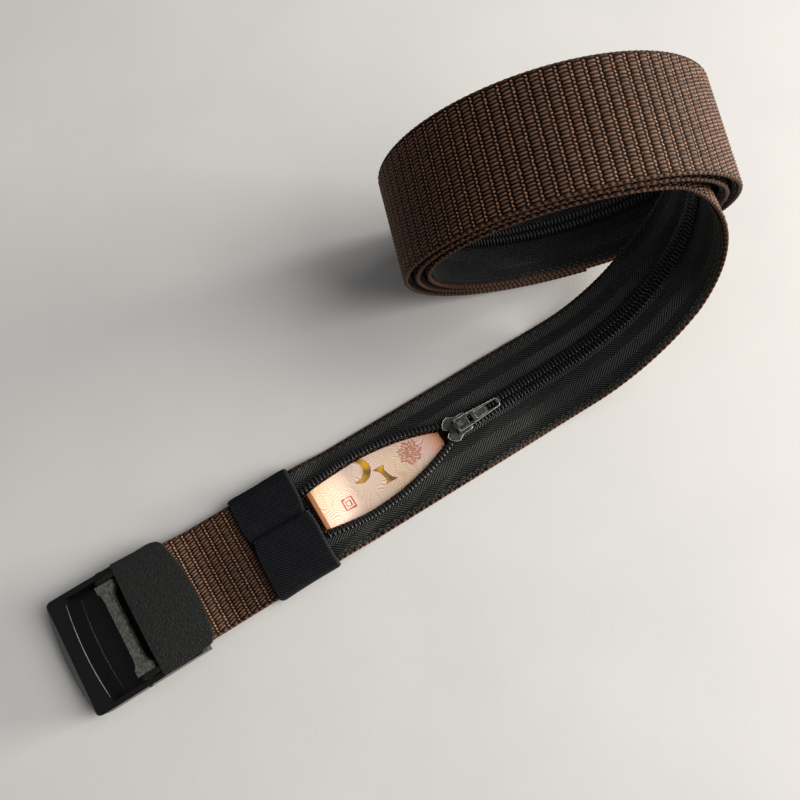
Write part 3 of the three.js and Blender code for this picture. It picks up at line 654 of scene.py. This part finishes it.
def tape_piece(name, side, node):
    """One tape, raised by the pocket at its inner edge and puckered along the sewn row."""
    s = np.arange(TAPE_S0, TAPE_S1, 0.55)
    strap = Strap(s)
    inner = half_opening(strap.x) + 0.4
    bottom = tape_bottom(strap)
    edge = SKIN + TAPE_GAP
    stitch_turn = s * 2 * math.pi / STITCH_PITCH
    outer = TAPE_EDGE_Y + (0.22 * np.sin(stitch_turn) + 0.12 * noise(s * 0.8, seed=side))
    columns = 26
    t = np.linspace(0, 1, columns)
    across = inner[:, None] + (outer - inner)[:, None] * t[None, :]
    shoulder = np.maximum(inner + 0.6, SLIDER_HALF)[:, None]
    fall = smooth(across, shoulder, np.full_like(shoulder, 16.6))
    base = bottom[:, None] + (edge - bottom)[:, None] * fall
    under_keeper = 1 - smooth(strap.x, KEEPER_END_X - 1, KEEPER_END_X + 6)
    near_slider = np.exp(-((strap.x - SLIDER_X) / 7) ** 2)
    free = (1 - under_keeper) * (1 - near_slider)
    ripple = noise(s[:, None] * 0.16, across * 0.35, seed=5 + side) * np.sin(math.pi * t)[None, :]
    ripple = ripple * (0.16 + 0.3 * np.exp(-((strap.x - 90) / 30) ** 2)[:, None])
    pucker = 0.13 * np.cos(stitch_turn)[:, None] * np.exp(-((across - STITCH_LINE) / 0.7) ** 2)
    top = base + TAPE_THICK + ripple * free[:, None] + np.abs(ripple) * 0.4 + pucker
    under = base + 0.02
    ring_across = np.concatenate([across, across[:, ::-1]], 1) * side
    ring_out = np.concatenate([under, top[:, ::-1]], 1)
    along = np.repeat(s[:, None], 2 * columns, 1)
    order = slice(None) if side > 0 else slice(None, None, -1)
    points = strap.place(ring_across[:, order], ring_out[:, order])
    piece = mesh_piece(name, points, grid_faces(len(s), 2 * columns), "belt", [node],
                       {"along": along, "across": ring_across[:, order]})
    piece.data.materials.append(TAPE)


tape_piece("tape_far", 1, "zip_tape_far")
tape_piece("tape_near", -1, "zip_tape_near")


# ---- Zip coils: one flattened helix of monofilament on each side ----

COIL_PITCH = 1.5
WIRE = 0.4
COIL_OVERHANG = 0.45
COIL_S0 = s_at_x(COIL_START_X + 0.4)
COIL_S1 = s_at_angle((TAPE_END_TURNS - 0.012) * 2 * math.pi)
COIL_MEET_X = 119.4


def coil_piece(name, side, node):
    """The wire crosses straight over the top of each tooth and slants back underneath it.

    The two rows mesh only past COIL_MEET_X, beyond the reach of the slider's divider.
    """
    per_turn = 16
    turns = int((COIL_S1 - COIL_S0) / COIL_PITCH) - 1
    theta = np.linspace(0, turns * 2 * math.pi, turns * per_turn)
    whole = np.floor(theta / (2 * math.pi) + 1e-9)
    part = theta / (2 * math.pi) - whole
    advance = smooth(part, 0.5, 1.0)
    offset = 0.5 if side < 0 else 0.0
    s = COIL_S0 + (whole + advance + offset) * COIL_PITCH
    strap = Strap(s)
    inner = half_opening(strap.x)
    closed = smooth(strap.x, COIL_MEET_X, COIL_MEET_X + 2.6)
    head = inner - 0.7 * closed
    tail = inner + COIL_WIDTH + COIL_OVERHANG
    wave = np.cos(2 * math.pi * part)
    reach = (tail - head) / 2 - WIRE
    across = side * ((head + tail) / 2 - reach * np.sign(wave) * np.abs(wave) ** 0.6)
    rise = np.sin(2 * math.pi * part)
    lift = 0.68 + 0.34 * np.sign(rise) * np.abs(rise) ** 0.5
    centres = strap.place(across[:, None], (tape_bottom(strap) + TAPE_THICK + lift)[:, None])[:, 0, :]
    rings = tube_grid(centres, WIRE, 7)
    piece = mesh_piece(name, rings, grid_faces(len(centres), 7), "belt", [node])
    piece.data.materials.append(COIL)


coil_piece("coil_far", 1, "zip_coil_far")
coil_piece("coil_near", -1, "zip_coil_near")


# ---- Stitches ----

def stitches(name, places, node, mat, radius, body="belt"):
    """Short arched threads, each between two points, standing up by a little."""
    points = []
    faces = []
    sides = 6
    t = np.linspace(0, 1, 6)
    arch = np.sin(math.pi * t)
    thick = radius * (0.55 + 0.45 * arch)
    for start, end, up in places:
        centres = start[None, :] * (1 - t)[:, None] + end[None, :] * t[:, None]
        centres = centres + up[None, :] * (arch * 0.22 - 0.1)[:, None]
        faces += grid_faces(len(t), sides, start=len(points) * len(t) * sides)
        points.append(tube_grid(centres, thick, sides).reshape(-1, 3))
    piece = mesh_piece(name, np.concatenate(points), faces, body, [node])
    piece.data.materials.append(mat)


TAPE_FACE = SKIN + TAPE_GAP + TAPE_THICK


def tape_stitches(name, side, node):
    starts = np.arange(s_at_x(STITCH_START_X), TAPE_S1 - 4, STITCH_PITCH)
    first = Strap(starts)
    last = Strap(starts + STITCH_PITCH * 0.82)
    across = np.full((len(starts), 1), STITCH_LINE * side)
    out = np.full_like(across, TAPE_FACE + 0.14)
    places = list(zip(first.place(across, out)[:, 0], last.place(across, out)[:, 0], first.out))
    stitches(name, places, node, BLACK_THREAD, 0.24)


tape_stitches("tape_thread_far", 1, "tape_stitch_far")
tape_stitches("tape_thread_near", -1, "tape_stitch_near")


def fold_stitches(name, x, node):
    """A close zigzag of thread across the strap at the place x."""
    places = []
    up = np.array([0, 0, 1.0])
    height = UPPER_LAYER_Z + SKIN + 0.28
    for k, y in enumerate(np.arange(-14.8, 14.8, 0.7)):
        left = np.array([x - 0.85, y, height])
        right = np.array([x + 0.85, y + 0.35, height])
        places.append((left, right, up) if k % 2 else (right, left, up))
    stitches(name, places, node, BROWN_THREAD, 0.22)


FOLD_STITCH_X = 29
fold_stitches("fold_thread_front", FOLD_STITCH_X, "fold_stitch_front")
fold_stitches("fold_thread_rear", FOLD_STITCH_X + 4.5, "fold_stitch_rear")


def tack_stitches(name, node, strap_s, height, half, length):
    """A close zigzag of thread across the strap at distance strap_s."""
    across = np.arange(-half, half, 0.42)
    first = Strap(np.full(len(across), strap_s - length / 2))
    last = Strap(np.full(len(across), strap_s + length / 2))
    start = first.point + first.across * across[:, None] + first.out * height
    end = last.point + last.across * (across[:, None] + 0.2) + last.out * height
    places = []
    for k, up in enumerate(first.out):
        places.append((start[k], end[k], up) if k % 2 else (end[k], start[k], up))
    stitches(name, places, node, BLACK_THREAD, 0.16)


TAIL_TACK_TURNS = 2.957
tack_stitches("tack_thread_front", "zip_tack_front", s_at_x(FRONT_TACK_X),
              TAPE_FACE + 0.2, TACK_HALF, 1.7)
tack_stitches("tack_thread_tail", "zip_tack_tail", s_at_angle(TAIL_TACK_TURNS * 2 * math.pi),
              TAPE_FACE + 0.25, TACK_HALF, 1.6)


def keeper_stitches():
    """The row that joins the lapped ends, showing inside the band."""
    lo, hi = (c * 1000 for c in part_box("keeper_stitch"))
    x0, x1 = lo.x - ORIGIN[0], hi.x - ORIGIN[0]
    z = (lo.z + hi.z) / 2 - ORIGIN[2]
    down = np.array([0, 0, -1.0])
    length = 1.9
    pitch = 2.3
    places = [(np.array([x, 0.0, z]), np.array([x + length, 0.0, z]), down)
              for x in np.arange(x0, x1 - length, pitch)]
    stitches("keeper_thread", places, "keeper_stitch", BLACK_THREAD, 0.16, "keeper")


keeper_stitches()


# ---- Keeper ----

KEEPER_WALL = 1.15
KEEPER_INNER_Y = HALF_WIDTH + 0.3
KEEPER_OUTER_Y = KEEPER_INNER_Y + KEEPER_WALL
KEEPER_CEILING = 6.55
FAR_TOP = KEEPER_CEILING + 0.85
NEAR_TOP = KEEPER_CEILING + KEEPER_WALL + 0.72
LAP_Y = 2.2


def keeper_outline():
    """The outside seen along the strap as (y, z), from the lap's step round under the strap and back."""
    edge = KEEPER_OUTER_Y
    step_down = [(1.9, NEAR_TOP + 0.25), (2.3, NEAR_TOP - 0.1), (2.2, FAR_TOP - 0.2), (2.7, FAR_TOP - 0.35)]
    far_side = [(6, FAR_TOP - 0.12), (12, FAR_TOP - 0.02), (17.5, FAR_TOP - 0.1),
                (edge - 1.0, FAR_TOP - 0.4), (edge - 0.25, FAR_TOP - 1.2), (edge, FAR_TOP - 2.4), (edge, 4)]
    underside = [(edge, 1.6), (edge - 0.4, 0.5), (edge - 1.2, 0.12), (10, 0.1), (0, 0.1), (-10, 0.1),
                 (-edge + 1.2, 0.12), (-edge + 0.4, 0.5), (-edge, 1.6)]
    near_side = [(-edge, 4), (-edge, NEAR_TOP - 2.4), (-edge + 0.3, NEAR_TOP - 1.1),
                 (-edge + 1.2, NEAR_TOP - 0.35), (-17, NEAR_TOP - 0.1), (-12, NEAR_TOP + 0.1),
                 (-6, NEAR_TOP + 0.3), (0.6, NEAR_TOP + 0.4)]
    return step_down + far_side + underside + near_side


def twill(x, place, border):
    """Relief and yarn tone of slanting ribs, with a plainer selvedge where border is 0."""
    rib = 0.5 + 0.5 * np.cos((x + place) * 2 * math.pi / 1.05)
    fine = 0.5 + 0.5 * np.cos(place * 2 * math.pi / 0.6)
    selvedge = 0.5 + 0.5 * np.cos(place * 2 * math.pi / 0.8)
    relief = border * (0.3 * rib + 0.07 * fine) + (1 - border) * (0.1 + 0.05 * selvedge)
    yarn = border * rib**2 * (0.6 + 0.4 * fine) + (1 - border) * (0.35 + 0.35 * selvedge)
    return relief, yarn


def keeper_piece():
    """An elastic band with its ends lapped on top, ribbed in a slanting twill."""
    step = 0.22
    loop = Loop(keeper_outline())
    count = int(loop.length / step)
    place = np.linspace(0, loop.length, count, endpoint=False)
    y, z = loop.at(place)
    ny, nz = loop.normals(place, step)
    x = np.arange(0, KEEPER_LENGTH + 0.01, 0.2)
    xg, pg = np.meshgrid(x, place, indexing="ij")
    yg = np.broadcast_to(y, xg.shape)
    end = np.minimum(x, KEEPER_LENGTH - x)
    relief, yarn = twill(xg, pg, smooth(end, 0.7, 1.1)[:, None])
    rounding = -0.35 * (1 - smooth(end, 0.0, 0.5))[:, None]
    waist = 0.25 * np.sin(xg / KEEPER_LENGTH * math.pi) * smooth(np.abs(yg), 15, 20)
    wave = 0.12 * noise(xg * 0.22, pg * 0.13, seed=8)
    shift = relief + rounding - 0.15 - waist + wave * (z > 3)[None, :]
    zg = np.maximum(z[None, :] + nz[None, :] * shift, 0.05)
    # The lap draws its two sides in and sets them a little out of line
    on_top = (z > 4)[None, :]
    pinch = 0.9 * np.exp(-((yg - LAP_Y) / 3.2) ** 2) * on_top
    near_half = (yg < 2.1) & on_top
    skew = np.where(near_half, 0.7, -0.5) * np.exp(-((yg - LAP_Y) / 9) ** 2)
    xs = KEEPER_X + xg + pinch * (1 - 2 * xg / KEEPER_LENGTH) + skew
    outer = np.stack([xs, yg + ny[None, :] * shift, zg], -1)
    inner = Loop([(2.0, KEEPER_CEILING), (KEEPER_INNER_Y, KEEPER_CEILING), (KEEPER_INNER_Y, 1.25),
                  (-KEEPER_INNER_Y, 1.25), (-KEEPER_INNER_Y, KEEPER_CEILING)])
    iy, iz = inner.at(place / loop.length * inner.length)
    first, last = (np.stack([np.full(count, KEEPER_X + x[e]), iy, iz], -1)[None] for e in (0, -1))
    rows = np.concatenate([first, outer, last], 0)
    bare = np.zeros((1, count))
    yarns = np.concatenate([bare, yarn, bare], 0)
    faces = grid_faces(rows.shape[0], count, caps=False)
    base = (rows.shape[0] - 1) * count
    faces += [[base + i, base + (i + 1) % count, (i + 1) % count, i] for i in range(count)]
    piece = mesh_piece("keeper_elastic", rows, faces, "keeper",
                       ["keeper_band"], {"yarn": yarns})
    piece.data.materials.append(ELASTIC)


keeper_piece()


# ---- Note ----

NOTE_X0 = 49.8
NOTE_X1 = 103.5


def note_marks(x, across):
    """Plain marks for the print: a crescent, a waisted bar, a lace rosette and nested squares."""
    mark = np.zeros_like(across)
    crescent = (np.hypot(x - 70.5, across - 5.5) < 4.6) & (np.hypot(x - 68.3, across - 6.3) > 4.1)
    on_bar = across + 0.6
    waist = 0.9 + 1.4 * (np.abs(on_bar) / 3.4) ** 3
    bar = (np.abs(x - 78.5 + 0.3 * on_bar) < waist) & (np.abs(on_bar) < 3.5)
    mark[crescent | bar] = GOLD_MARK
    rose = np.hypot(x - 90.5, across - 1.6)
    turn = np.arctan2(across - 1.6, x - 90.5)
    lace = np.cos(14 * turn + 1.2 * rose) * np.cos(rose * 3.4 + 0.8 * np.cos(7 * turn))
    mark[(rose < 4.4 + 0.5 * np.cos(7 * turn)) & (lace > 0.12)] = PINK_MARK
    square = np.maximum(np.abs(x - 61), np.abs(across + 3))
    for outer, inner in ((2.3, 1.8), (1.1, 0.7)):
        mark[(square < outer) & (square > inner)] = RED_MARK
    return mark


def note_piece():
    """The folded note's end between the teeth, low enough for the slider beyond its crowned left end."""
    s = np.arange(s_at_x(NOTE_X0), s_at_x(NOTE_X1), 0.3)
    strap = Strap(s)
    half = np.maximum(half_opening(strap.x) - 0.45, 0.6)
    t = np.linspace(-1, 1, 61)
    across = half[:, None] * t[None, :]
    crown = (1 - np.abs(t) ** 3)[None, :]
    # The slider passes over all but the note's left end, which may stand higher
    room = 1 - smooth(strap.x, 50, 66.5)[:, None]
    curl = 0.9 * np.exp(-((strap.x - NOTE_X0) / 7) ** 2)[:, None]
    base = SKIN + 0.25
    top = base + 0.75 + 0.3 * crown + room * (0.3 + 0.5 * crown) + curl * (0.6 + 0.4 * t)[None, :]
    top = top + 0.07 * noise(strap.x[:, None] * 0.3, across * 0.2, seed=2)
    under = np.full_like(top, base)
    mark = note_marks(strap.x[:, None] + 0 * across, across)
    columns = len(t)
    ring_across = np.concatenate([across, across[:, ::-1]], 1)
    ring_out = np.concatenate([under, top[:, ::-1]], 1)
    marks = np.concatenate([0 * mark, mark[:, ::-1]], 1)
    marks[:5] = FOLD_MARK
    along = np.repeat(strap.x[:, None], 2 * columns, 1)
    points = strap.place(ring_across, ring_out)
    piece = mesh_piece("note_folded", points, grid_faces(len(s), 2 * columns), "note",
                       ["folded_note"],
                       {"along": along, "across": ring_across, "mark": marks})
    piece.data.materials.append(NOTE)


note_piece()


# ---- Buckle, slider and puller: kept CAD nodes with softened edges ----

def keep(node, mat, bevel, rim=None):
    """Softens a CAD node's edges by bevel millimetres, in the rim material if there is one."""
    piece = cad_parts[node]
    piece.data.materials.clear()
    piece.data.materials.append(mat)
    soft = piece.modifiers.new("soft_edges", "BEVEL")
    soft.width = bevel / 1000
    soft.segments = 3
    soft.limit_method = "ANGLE"
    soft.angle_limit = math.radians(28)
    soft.use_clamp_overlap = True
    if rim:
        piece.data.materials.append(rim)
        soft.material = 1
    for polygon in piece.data.polygons:
        polygon.use_smooth = True


keep("buckle_frame", FRAME_PLASTIC, 0.35)
keep("buckle_lever", LEVER_PLASTIC, 0.35)
keep("buckle_clamp_bar", BAR_PLASTIC, 0.3)
keep("lever_pin_far", PIN_PLASTIC, 0.2)
keep("lever_pin_near", PIN_PLASTIC, 0.2)
keep("zip_slider", METAL, 0.17, RIM_METAL)
keep("zip_puller", METAL, 0.17, RIM_METAL)


def bead(name, centres, thick, body, mat):
    """A thin round bead that follows a line of centres."""
    sides = 8
    rings = tube_grid(centres, thick, sides)
    piece = mesh_piece(name, rings, grid_faces(len(centres), sides), body)
    piece.data.materials.append(mat)


def rim_bead(name, outline, z, thick, body):
    """A polished rim that follows a closed outline of (x, y) corners at height z."""
    loop = Loop(outline)
    place = np.linspace(0, loop.length, int(loop.length / 0.25))
    x, y = loop.at(place)
    bead(name, np.stack([x, y, np.full_like(place, z)], 1), thick, body, RIM_METAL)


def mirrored(half):
    """An outline from its half on the near side, mirrored in y = 0."""
    return half + [(x, -y) for x, y in reversed(half) if y]


def metal_rims():
    slider_top = (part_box("zip_slider")[1].z * 1000 - ORIGIN[2]) - 3.1
    puller_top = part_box("zip_puller")[1].z * 1000 - ORIGIN[2]
    tip = SLIDER_X + PULLER_LENGTH
    tab = [(SLIDER_X + 0.1, -2.45), (SLIDER_X + 4, -2.45), (tip - 1.0, -1.62), (tip - 0.3, -1.1)]
    rim_bead("puller_rim", mirrored(tab), puller_top, 0.13, "puller")
    panel = [(SLIDER_X + 8, -1.45), (tip - 6.2, -1.3)]
    rim_bead("puller_panel_rim", mirrored(panel), puller_top - 0.03, 0.09, "puller")
    nose = SLIDER_X - 5.1
    wing = [(3.4, 0), (1.3, -0.7), (0.1, -1.6), (0.7, -3.3), (2.0, -4.4), (3.5, -5.0),
            (4.6, -4.2), (6.2, -3.5), (9.4, -3.5), (10.0, -3.0)]
    rim_bead("slider_rim", mirrored([(nose + x, y) for x, y in wing]), slider_top, 0.13, "slider")


metal_rims()


def plate_edge():
    """A painted highlight: a lighter bead along the front plate's moulded edge where the recess starts, and
    its line on the floor.
    """
    y = np.linspace(-17.8, 17.8, 60)
    x = FRONT_PLATE_X - 0.2 - 1.5 * (1 - (y / (FRAME_HALF - RAIL_THICK)) ** 2)
    centres = np.stack([x, y, np.full_like(y, FRONT_PLATE_Z - 0.05)], 1)
    thick = 0.17 * np.sqrt(np.clip(1 - (y / 18.0) ** 2, 0.02, 1))
    bead("plate_edge_bead", centres, thick, "belt", PAINTED_EDGE_HIGHLIGHT)
    floor_line = centres + np.array([3.0, 0, FLOOR_THICK + 0.1 - FRONT_PLATE_Z])
    bead("recess_floor_bead", floor_line, 0.6 * thick, "belt", PIN_PLASTIC)


plate_edge()


# ---- Ground, light and camera ----

def ground():
    mat, tree, shader = material("pale_paper")
    mottle = object_noise(tree, 14.0, 6.0)
    tree.links.new(ramp(tree, mottle, [(0.3, (0.68, 0.665, 0.645)), (0.7, (0.73, 0.715, 0.69))]),
                   shader.inputs["Base Color"])
    shader.inputs["Roughness"].default_value = 0.8
    bump(tree, shader, object_noise(tree, 700.0, 4.0), 0.1, 0.0003)
    mesh = bpy.data.meshes.new("ground")
    reach = 3.0
    corners = [(-reach, -reach, 0), (reach, -reach, 0), (reach, reach, 0), (-reach, reach, 0)]
    mesh.from_pydata(corners, [], [(0, 1, 2, 3)])
    mesh.materials.append(mat)
    sheet = bpy.data.objects.new("ground", mesh)
    bpy.context.scene.collection.objects.link(sheet)


def lamp(name, direction, distance, size, power, colour, target=(0.02, 0.0, 0.02)):
    data = bpy.data.lights.new(name, "AREA")
    data.shape = "RECTANGLE"
    data.size, data.size_y = size
    data.energy = power
    data.color = colour
    lamp_object = bpy.data.objects.new(name, data)
    towards = Vector(direction).normalized()
    lamp_object.location = Vector(target) + towards * distance
    lamp_object.rotation_mode = "QUATERNION"
    lamp_object.rotation_quaternion = towards.to_track_quat("Z", "Y")
    bpy.context.scene.collection.objects.link(lamp_object)


def world_light(strength, colour):
    world = bpy.data.worlds.new("studio")
    world.use_nodes = True
    world.node_tree.nodes["Background"].inputs[0].default_value = (*colour, 1)
    world.node_tree.nodes["Background"].inputs[1].default_value = strength
    bpy.context.scene.world = world


def camera():
    data = bpy.data.cameras.new("photo_camera")
    data.sensor_width = 36
    data.lens = 33.3
    camera_object = bpy.data.objects.new("photo_camera", data)
    forward = Vector((0.136, 0.2205, -0.966)).normalized()
    right = Vector((0.852, -0.524, 0.0)).normalized()
    up = right.cross(forward).normalized()
    right = forward.cross(up)
    turn = Matrix((right, up, -forward)).transposed().to_4x4()
    camera_object.matrix_world = Matrix.Translation((-0.0324, -0.0712, 0.2747)) @ turn
    data.clip_start = 0.01
    data.clip_end = 20
    bpy.context.scene.collection.objects.link(camera_object)
    bpy.context.scene.camera = camera_object


ground()
lamp("window", (0.60, -0.42, 0.72), 0.85, (0.6, 0.6), 4.6, (1.0, 0.98, 0.95))
lamp("side", (0.93, -0.38, 0.15), 1.6, (0.7, 0.35), 38.0, (1.0, 0.95, 0.88), (0.1, 0.03, 0.05))
lamp("ceiling", (0.85, -0.15, 1.0), 1.5, (1.4, 1.4), 9.0, (1.0, 0.99, 0.97))
world_light(0.16, (0.95, 0.97, 1.0))
camera()
bpy.context.scene.view_settings.view_transform = "Standard"
